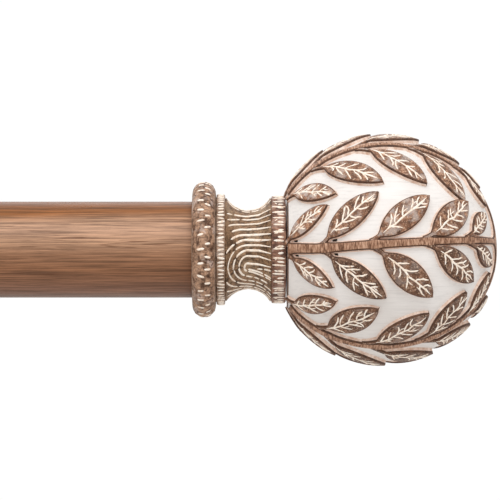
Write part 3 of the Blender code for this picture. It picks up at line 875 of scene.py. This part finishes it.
def neck_mesh():
    """Slots: carved waist, cream, narrow band, outer band."""
    rng = random.Random(11)
    centre, radius, half_turn = waist_curve()
    waist = arc(centre, radius, 270 - half_turn, 270 + half_turn, 28)
    inner, outer = BAND_IN, BAND_OUT
    start, floor, bolt_hole = 0.0009, 0.0085, 0.0034
    profile = [
        (start, NECK_BORE),
        (start, SLEEVE),
        (inner[0], SLEEVE),
        (inner[0], inner[2] - 0.0002),
        (inner[0] + 0.0002, inner[2]),
        (inner[1] - 0.0004, inner[2]),
        (inner[1] - 0.0001, inner[2] - 0.0003),
        (inner[1], SLEEVE - 0.0004),
        *waist[1:-1],
        (outer[0], outer[2] - 0.0006),
        (outer[0] + 0.0001, outer[2] - 0.0001),
        (outer[0] + 0.0003, outer[2]),
        (outer[1] - 0.0003, outer[2]),
        (outer[1], outer[2] - 0.0003),
        (outer[1], bolt_hole),
        (floor, bolt_hole),
        (floor, NECK_BORE),
    ]

    def slot_at(x, r):
        if x < inner[1]:
            return 2
        return 3 if x > outer[0] else 0

    shape = Shape()
    lathe(shape, profile, 160, slot_at=slot_at)
    middle = (inner[0] + inner[1]) / 2 + 0.00005
    band_marks(shape, rng, 84, middle, 1.75 * MM, 0.32 * MM, inner[2], 14)
    middle = (outer[0] + outer[1]) / 2
    band_marks(shape, rng, 40, middle, 3.1 * MM, 0.32 * MM, outer[2], 4)
    band_marks(shape, rng, 40, middle + 0.0005, 1.7 * MM, 0.30 * MM, outer[2], 12, 0.5)
    band_marks(shape, rng, 26, middle - 0.0007, 0.9 * MM, 0.22 * MM, outer[2], 50, 0.3)
    grain_lines(shape, rng)
    return shape.mesh("neck", 40)


def ring_stroke(bend, turn, reach, slant, count):
    """A stroke on the bead ring, about bend round its own section and turn round the rod."""

    def surface(run):
        lean = bend + run / RING_TUBE
        x, r = sin(lean), cos(lean)
        return (RING_TUBE + RING_TUBE * x, RING_RADIUS + RING_TUBE * r), (x, r)

    return stroke(surface, turn, RING_RADIUS + RING_TUBE, reach, slant, count)


def bead_ring_mesh():
    """Slots: carved ring, cream, pale worn edges, dark scratches."""
    rng = random.Random(5)
    crown = arc((RING_TUBE, RING_RADIUS), RING_TUBE, 180, 0, 20)
    end, foot, back = 2 * RING_TUBE, SLEEVE + 0.0003, 0.0006
    edge = 0.35 * MM

    def slot_at(x, r):
        worn = r > SLEEVE + 0.0005 and (x < edge or x > end - edge)
        return 2 if worn else 0

    shape = Shape()
    lip = [(end, foot), (back, foot), (back, NECK_BORE), (0, NECK_BORE)]
    lathe(shape, [*crown, *lip], 160, slot_at=slot_at)
    dashes, scratches = 30, 240
    for offset, length, phase in ((-0.75, 2.0, 0.0), (1.15, 1.7, 0.5)):
        for k in range(dashes):
            turn = tau * (k + phase + rng.uniform(-0.12, 0.12)) / dashes
            slant = radians(rng.uniform(-16, 16))
            reach = length * rng.uniform(0.8, 1.1) * MM
            stroke = ring_stroke(offset * MM / RING_TUBE, turn, reach, slant, 6)
            shape.ribbon(*stroke, rng.uniform(0.28, 0.37) * MM, 0.15 * MM, 1)
    for k in range(scratches):
        bend, turn = rng.uniform(-1.1, 1.1), tau * (k + rng.random()) / scratches
        slant, reach = rng.uniform(0, pi), rng.uniform(0.5, 1.3) * MM
        stroke = ring_stroke(bend, turn, reach, slant, 4)
        shape.ribbon(*stroke, rng.uniform(0.13, 0.23) * MM, 0.08 * MM, 2 + k % 2)
    return shape.mesh("bead_ring", 40)


# The rod's tubes and the fittings inside the finials


def tube_mesh(name, start, end, bore, outside):
    """Slots: film, bare metal inside. A folded seam runs along the back."""

    def radius_at(x, r, angle):
        return r - 0.00018 if abs(angle - pi) < 0.01 and r > bore + 0.0002 else r

    profile = [(start, bore), (start, outside), (end, outside), (end, bore)]
    return turned(name, profile, 120, 0.00018, radius_at, lambda x, r: int(r < bore + 0.00001))


def guide_mesh(lip, liner_end):
    """A lip against the outer tube's mouth, with a liner inside it."""
    start, bore = lip - 0.0015, END_SLEEVE_BORE
    profile = [(start, bore), (start, ROD_RADIUS), (lip, ROD_RADIUS), (lip, LINER)]
    return turned("guide_ring", [*profile, (liner_end, LINER), (liner_end, bore)])


def glide_mesh(end):
    """A bearing on the inner tube's end, with a spigot inside it."""
    start, rest, face = end - 0.010, end + GAP, end + 0.005
    bore, spigot = 0.0085, INNER_BORE - GAP
    profile = [(start, bore), (start, spigot), (rest, spigot), (rest, LINER), (face, LINER)]
    return turned("glide", [*profile, (face, bore)], radius=0.0004)


def plug_mesh(name, tube_bore):
    """Ribs along the spigot, and a flange that closes the tube's end."""
    spigot = tube_bore - GAP

    def radius_at(x, r, angle):
        if x > 0.0065 or r < spigot - 0.0001:
            return r
        return r - 0.0006 * (cos(12 * angle) < -0.1)

    start, seat, face = -0.010, 0.0069, 0.0081
    bore, recess, flange = 0.0048, 0.0061, 0.0122
    profile = [(start, bore), (start, spigot - 0.0004), (start + 0.0007, spigot), (seat, spigot)]
    profile += [(seat, flange), (face, flange), (face, recess), (seat, recess), (seat, bore)]
    return turned(name, profile, 144, 0.00025, radius_at)


def insert_mesh():
    """A knurled brass insert with a flange and a threaded bore."""
    bore, body, flange = 0.0032, 0.0045, 0.0058
    start, seat, face = -0.006, 0.0072, 0.0082

    def radius_at(x, r, angle):
        if r == bore:
            return r + 0.0004 * helix(x, angle, BOLT_PITCH)
        if r == body and (-0.005 < x < -0.0005 or 0.0008 < x < 0.0062):
            return r - 0.00025 * (0.5 + 0.5 * cos(36 * angle + x * 900))
        return r

    outside = [(x, body) for x in stations(start, seat, 0.0005)]
    inside = threaded(start, face, bore, BOLT_PITCH)[::-1]
    profile = [*outside, (seat, flange), (face, flange), *inside]
    return turned("insert", profile, 144, 0.0002, radius_at)


def bolt_mesh():
    """A hanger bolt: machine thread, a plain middle, and a pointed wood thread in the ball."""

    def radius_at(x, r, angle):
        if x < 0.0165 and r > 0.0024:
            return r - 0.00038 * helix(x, angle, BOLT_PITCH)
        if 0.0255 < x < 0.0412:
            return r - min(0.0008, r * 0.3) * helix(x, angle, wood_pitch)
        return r

    start, point, end = -0.005, 0.038, 0.042
    wide, plain, tip, wood_pitch = 0.0029, 0.0027, 0.0006, 0.0021
    profile = [(start, 0), (start, 0.0023), *threaded(start + 0.0006, 0.017, wide, BOLT_PITCH)]
    profile += [(0.0175, plain), (0.0245, plain), *threaded(0.025, point, wide, wood_pitch)]
    slope = (wide - tip) / (end - point)
    profile += [(x, wide - slope * (x - point)) for x in stations(point, end, 0.0003)[1:]]
    return turned("hanger_bolt", [*profile, (end, 0)], 48, 0.00015, radius_at)


# Brackets, each about its own middle plane


# These point a body turned about X.
TO_ROOM, TO_WALL, DOWN = spin(-90, "Z"), spin(90, "Z"), spin(90, "Y")


def stadium(half_height, radius, y, steps=36):
    reach = half_height - radius
    upper = arc((0, reach), radius, 0, 180, steps)
    lower = arc((0, -reach), radius, 180, 360, steps)
    return [(x, y, z) for x, z in upper + lower]


def plate_mesh():
    """A plate with a soft front edge and two countersunk holes."""
    edge = [(0.3, 0.0), (0.0, -0.3), (0.0, -1.9), (0.18, -2.5), (0.6, -2.9), (1.1, -3.0)]
    loops = [stadium(0.038 - inset * MM, 0.015 - inset * MM, y * MM) for inset, y in edge]
    plate = loft("plate", loops)
    start, hole, mouth = -0.004, 0.0026, 0.0072
    sink = [(0.0004, hole), (0.0029, 0.0050), (0.0031, 0.0056), (0.0036, mouth), (0.0036, 0)]
    cuts = []
    for z in (WALL_SCREW_RISE, -WALL_SCREW_RISE):
        cutter = turned("hole", [(start, 0), (start, hole), *sink], 64, 0)
        cuts.append(("DIFFERENCE", moved(cutter, shift(0, 0, z) @ TO_ROOM)))
    return combined("wall_plate", plate, *cuts)


def boss_mesh(start, end):
    radius = 0.0048
    return turned("boss", [(start, 0), (start, radius), (end, radius), (end, 0)], 64, 0.0006)


def bore_mesh(at, start, end):
    """What cuts a threaded hole for a thumb screw."""
    radius = 0.0025

    def radius_at(x, r, angle):
        return r + 0.00025 * (1 - helix(x, angle, THUMB_PITCH)) if r == radius else r

    profile = [(start, 0), *threaded(start, end, radius, THUMB_PITCH), (end, 0)]
    return moved(turned("bore", profile, 32, 0, radius_at), at)


def post_mesh():
    """The sleeve on the plate, with a threaded boss under it for the lock screw."""
    bore, sleeve, lip = 0.0064, 0.0085, 0.0115
    shoulder, curve = 0.0053, 0.0022
    flange = [(0.0033, bore), (0.0033, lip - 0.0004), (0.0036, lip)]
    flange += [(shoulder - 0.0004, lip), (shoulder, lip - 0.0003)]
    fillet = [
        (shoulder + curve * (1 - cos(a)), sleeve + curve * (1 - sin(a)))
        for a in np.linspace(0.25, pi / 2, 8)
    ]
    steps = ((0.0492, 0), (0.0494, 0.0003), (0.0497, 0.0003), (0.0499, 0), (0.0512, 0))
    groove = [(x, sleeve - depth) for x, depth in steps]
    mouth = [(0.0518, 0.0082), (0.052, 0.0077), (0.052, 0.0069), (0.0516, bore)]
    post = moved(turned("post", [*flange, *fillet, *groove, *mouth], radius=0), TO_ROOM)
    at = shift(0, -LOCK_TO_WALL, 0) @ DOWN
    boss = moved(boss_mesh(0.0072, 0.0123), at)
    cutter = bore_mesh(at, 0.002, 0.02)
    return combined("post_whole", post, ("UNION", boss), ("DIFFERENCE", cutter))


def arm_mesh():
    start, end = 0.006, 0.071
    profile = [(start, 0), (start, ARM_RADIUS - 0.0012), (start + 0.0012, ARM_RADIUS)]
    return moved(turned("arm", [*profile, (end, ARM_RADIUS), (end, 0)]), TO_ROOM)


def cradle_mesh():
    """A U-shaped strip with soft edges, a collar for the arm and a boss for the clamp screw."""

    def loop(x, inset):
        inner, outer = 0.0131 + inset, 0.0157 - inset
        rear, front = 0.0085 - inset, 0.0045 - inset
        inside, outside = arc((0, 0), inner, 360, 180, 44), arc((0, 0), outer, 180, 360, 44)
        rear_end, front_end = [(outer, rear), (inner, rear)], [(-inner, front), (-outer, front)]
        outline = [*rear_end, *inside, *front_end, *outside]
        return [(x, y, z) for y, z in rounded(outline, 0.0008, 4)]

    edges = [(-0.007, 0.0005), (-0.0068, 0.0002), (-0.0065, 0.00005), (-0.0061, 0.0)]
    loops = [loop(x, inset) for x, inset in edges] + [loop(-x, inset) for x, inset in edges[::-1]]
    start, middle, end = 0.0142, 0.0157, 0.0177
    collar = [(start, 0), *((x, ARM_RADIUS) for x in (start, middle, end)), (end, 0)]
    collar = moved(turned("collar", collar), TO_WALL)
    boss = moved(boss_mesh(0.014, 0.0205), DOWN)
    joined = (("UNION", collar), ("UNION", boss), ("DIFFERENCE", bore_mesh(DOWN, 0.010, 0.025)))
    return combined("cradle_whole", loft("strip", loops), *joined)


def tip_mesh():
    end, radius = 0.0028, 0.0022
    nose = [(0, 0), (0, 0.0012), (0.0003, 0.0018), (0.0008, radius)]
    return turned("tip", [*nose, (end, radius), (end, 0)], 48, 0.0002)


def thumb_screw_mesh():
    """A threaded shank and a knurled knob with a turned face."""
    start, knob, tall = 0.0031, 0.0116, 0.0181
    grip, rim = 0.0065, 0.0061

    def radius_at(x, r, angle):
        if x < knob - 0.0004:
            cut = r == THUMB_RADIUS and x > start + 0.0003
            return r - 0.0003 * helix(x, angle, THUMB_PITCH) if cut else r
        if r > 0.0060 and knob + 0.0009 < x < tall - 0.0009:
            return r - 0.0005 * (0.5 + 0.5 * cos(30 * angle)) ** 1.5
        return r

    shank = threaded(start + 0.0003, knob - 0.0002, THUMB_RADIUS, THUMB_PITCH)
    under = [(knob, 0.0026), (knob, 0.0057), (knob + 0.0004, rim), (knob + 0.0008, rim)]
    side = [(x, grip) for x in stations(knob + 0.0011, tall - 0.0011, 0.0009)]
    face = [(tall - 0.0008, rim), (tall - 0.0004, 0.0060), (tall, 0.0054), (tall, 0.0040)]
    dish = [(tall - 0.0004, 0.0036), (tall - 0.0004, 0)]
    profile = [(start, 0), (start, 0.0019), *shank, *under, *side, *face, *dish]
    return turned("thumb_screw", profile, 180, 0.00012, radius_at)


def wall_screw_mesh():
    """A countersunk wood screw with a cross recess."""

    radius, pitch = 0.0019, 0.0018
    top, neck, point, end = -0.0028, 0.0028, 0.027, 0.032

    def radius_at(x, r, angle):
        if 0.003 < x < 0.0315:
            return r - min(0.0006, r * 0.35) * helix(x, angle, pitch)
        return r

    head = [(top, 0), (top, 0.0045), (-0.0026, 0.0047), (-0.0023, 0.0045)]
    head += [(-0.0004, radius), (neck, radius)]
    shank = threaded(neck + 0.0002, point, radius, pitch)
    slope = 0.0016 / (end - point)
    tip = [(x, radius - slope * (x - point)) for x in stations(point, end, 0.0004)[1:]]
    screw = turned("wall_screw", [*head, *shank, *tip, (end, 0)], 32, 0, radius_at)
    loops = []
    for x, wide, reach in ((-0.0032, 0.00052, 0.0025), (-0.0010, 0.00036, 0.0011)):
        quarter = [(reach, -wide), (reach, wide), (wide, wide)]
        loops.append([(x, *turn_by(p, k)) for k in range(4) for p in quarter])
    cross = loft("cross", loops)
    return combined("wall_screw_whole", screw, ("DIFFERENCE", cross))


def turn_by(point, quarters):
    """A point (y, z) after some quarter turns about the origin."""
    y, z = point
    for _ in range(quarters):
        y, z = -z, y
    return y, z


def anchor_mesh():
    """A ribbed wall anchor, with a smooth collar at its mouth."""
    start, end, bore = 0.0025, 0.030, 0.0022
    ridge, root = 0.0035, 0.0029
    outside = [(start, bore), (start, ridge), (0.0048, ridge)]
    for x in stations(0.0052, 0.0275, 0.0022)[:-1]:
        outside += [(x, root), (x + 0.0004, root), (x + 0.0018, ridge)]

    def radius_at(x, r, angle):
        return r - 0.0005 if r > 0.0025 and x > 0.008 and abs(sin(angle)) < 0.12 else r

    profile = [*outside, (0.0285, 0.0030), (end, 0.0028), (end, bore)]
    return turned("wall_anchor", profile, 48, 0, radius_at, sharp=30)


# Placing pieces


def put(node, mesh, paints, matrix):
    """A piece that stands for one CAD node, which it hides: it rides on its body.
    paints names a material for each of the mesh's slots."""
    if not mesh.materials:
        for name in paints.split():
            mesh.materials.append(PAINTS[name])
    obj = linked(f"{node}_finished", mesh)
    obj.matrix_world = matrix
    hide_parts(node)
    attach(obj, FRAME["nodes"][node]["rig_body"])


def build_finials(rod):
    pieces = (
        ("finial_neck", neck_mesh(), "carved_neck cream_paint pale_band dark_band"),
        ("finial_bead_ring", bead_ring_mesh(), "carved_ring cream_paint pale_band leaf_edge"),
        ("finial_ball", ball_mesh(), "ivory leaf_edge"),
        ("hanger_bolt", bolt_mesh(), "zinc"),
        ("plug_insert", insert_mesh(), "brass"),
    )
    tube_bores = {"right": OUTER_BORE, "left": INNER_BORE}
    sprays = [spray_mesh(seed) for seed in range(1, SPRAYS + 1)]
    spray_paints = "leaf_top leaf_wall leaf_edge cream_paint branch_wood soot"
    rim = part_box("right_finial_bead_ring")[0][0]
    for side, way in SIDES.items():
        base = rod @ shift(way * rim, 0, 0)
        base = base @ spin(180 if way < 0 else 0, "Z")
        for piece, mesh, paints in pieces:
            put(f"{side}_{piece}", mesh, paints, base)
        plug = plug_mesh(f"{side}_plug", tube_bores[side])
        put(f"{side}_tube_plug", plug, "nylon", base)
        centre = base @ shift(BALL_X, 0, 0) @ spin(-SPRAY_TILT, "Y")
        for i, mesh in enumerate(sprays):
            turn = spin(-SPRAY_TURN - 360 / SPRAYS * i, "X")
            number = -i % SPRAYS + 1  # part.py counts the sprays the other way round
            put(f"{side}_leaf_spray_{number}", mesh, spray_paints, centre @ turn)


def build_rod(rod):
    tubes = (
        ("outer_tube", OUTER_BORE, ROD_RADIUS),
        ("inner_tube", INNER_BORE, 0.0111),
        ("inner_tube_end_sleeve", END_SLEEVE_BORE, ROD_RADIUS),
    )
    for node, bore, outside in tubes:
        low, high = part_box(node)
        put(node, tube_mesh(node, low[0], high[0], bore, outside), "oak_film zinc", rod)
    mouth, inner_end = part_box("outer_tube")[0][0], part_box("inner_tube")[1][0]
    put("outer_tube_guide_ring", guide_mesh(mouth - GAP, mouth + 0.012), "nylon", rod)
    put("inner_tube_glide", glide_mesh(inner_end), "nylon", rod)


def build_brackets():
    pieces = (("wall_plate", plate_mesh()), ("post", post_mesh()), ("arm", arm_mesh()))
    cradle, tip, screw = cradle_mesh(), tip_mesh(), thumb_screw_mesh()
    wall_screw, anchor = wall_screw_mesh(), anchor_mesh()
    for side in SIDES:
        low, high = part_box(f"{side}_wall_plate")
        base = shift((low[0] + high[0]) / 2, 0, 0)
        for piece, mesh in pieces:
            put(f"{side}_{piece}", mesh, "bronze_paint", base)
        at = base @ shift(0, -ROD_TO_WALL, 0)
        put(f"{side}_cradle", cradle, "bronze_paint", at)
        for job, y, z in (("lock", -LOCK_TO_WALL, -0.0064), ("clamp", -ROD_TO_WALL, -0.0130)):
            at = base @ shift(0, y, z) @ DOWN
            put(f"{side}_{job}_tip", tip, "nylon", at)
            put(f"{side}_{job}_screw", screw, "bronze_paint", at)
        for level, z in (("upper", WALL_SCREW_RISE), ("lower", -WALL_SCREW_RISE)):
            at = base @ shift(0, 0, z) @ TO_WALL
            put(f"{side}_{level}_wall_screw", wall_screw, "zinc", at)
            put(f"{side}_{level}_wall_anchor", anchor, "nylon", at)


# The studio


def build_camera(rod):
    """A camera that looks level at the right finial, from in front of the rod."""
    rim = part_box("right_finial_bead_ring")[0][0]
    camera = bpy.data.cameras.new("camera")
    camera.lens, camera.sensor_width = 200, 36
    camera.clip_start, camera.clip_end = 0.01, 50
    holder = linked("camera", camera)
    holder.location = rod @ Vector((rim + 0.0152, -0.735, -0.0001))
    holder.rotation_euler = (radians(90), 0, 0)
    bpy.context.scene.camera = holder


def build_world():
    """White light from all round, and a background that is just white to the camera."""
    world = bpy.data.worlds.new("studio")
    world.use_nodes = True
    bpy.context.scene.world = world
    tree = world.node_tree
    fill = tree.nodes["Background"]
    seen = tree.nodes.new("ShaderNodeBackground")
    for background, strength in ((fill, FILL), (seen, 1.02)):
        background.inputs["Color"].default_value = (1, 1, 1, 1)
        background.inputs["Strength"].default_value = strength
    rays = tree.nodes.new("ShaderNodeLightPath")
    mix = tree.nodes.new("ShaderNodeMixShader")
    tree.links.new(rays.outputs["Is Camera Ray"], mix.inputs[0])
    tree.links.new(fill.outputs[0], mix.inputs[1])
    tree.links.new(seen.outputs[0], mix.inputs[2])
    tree.links.new(mix.outputs[0], tree.nodes["World Output"].inputs["Surface"])


def build_lights(rod):
    for name, place, size, power in LIGHTS:
        light = bpy.data.lights.new(name, "AREA")
        light.shape = "RECTANGLE"
        light.size, light.size_y = size
        light.energy = power
        lamp = linked(name, light)
        lamp.location = rod @ Vector(place)
        lamp.rotation_euler = (-Vector(place)).to_track_quat("-Z", "Y").to_euler()


def build_floor():
    shape = Shape()
    rings = []
    for radius in (0.0, FLOOR_RADIUS):
        angles = np.arange(96) * tau / 96
        rings.append([(radius * cos(a), radius * sin(a), FLOOR_HEIGHT) for a in angles])
    shape.grid(rings, closed=True)
    floor = linked("floor", shape.mesh("floor"))
    floor.data.materials.append(PAINTS["pale_floor"])


def main():
    FRAME.update(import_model())
    SLOTS.update((s["node"], s["material_slot"]) for s in FRAME["record"]["subparts"])
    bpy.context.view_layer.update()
    low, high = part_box("outer_tube")
    rod = shift(0, (low[1] + high[1]) / 2, 0)
    bpy.context.scene.view_settings.view_transform = "Standard"
    make_materials()
    build_camera(rod)
    build_world()
    build_lights(rod)
    build_floor()
    build_finials(rod)
    build_rod(rod)
    build_brackets()


main()
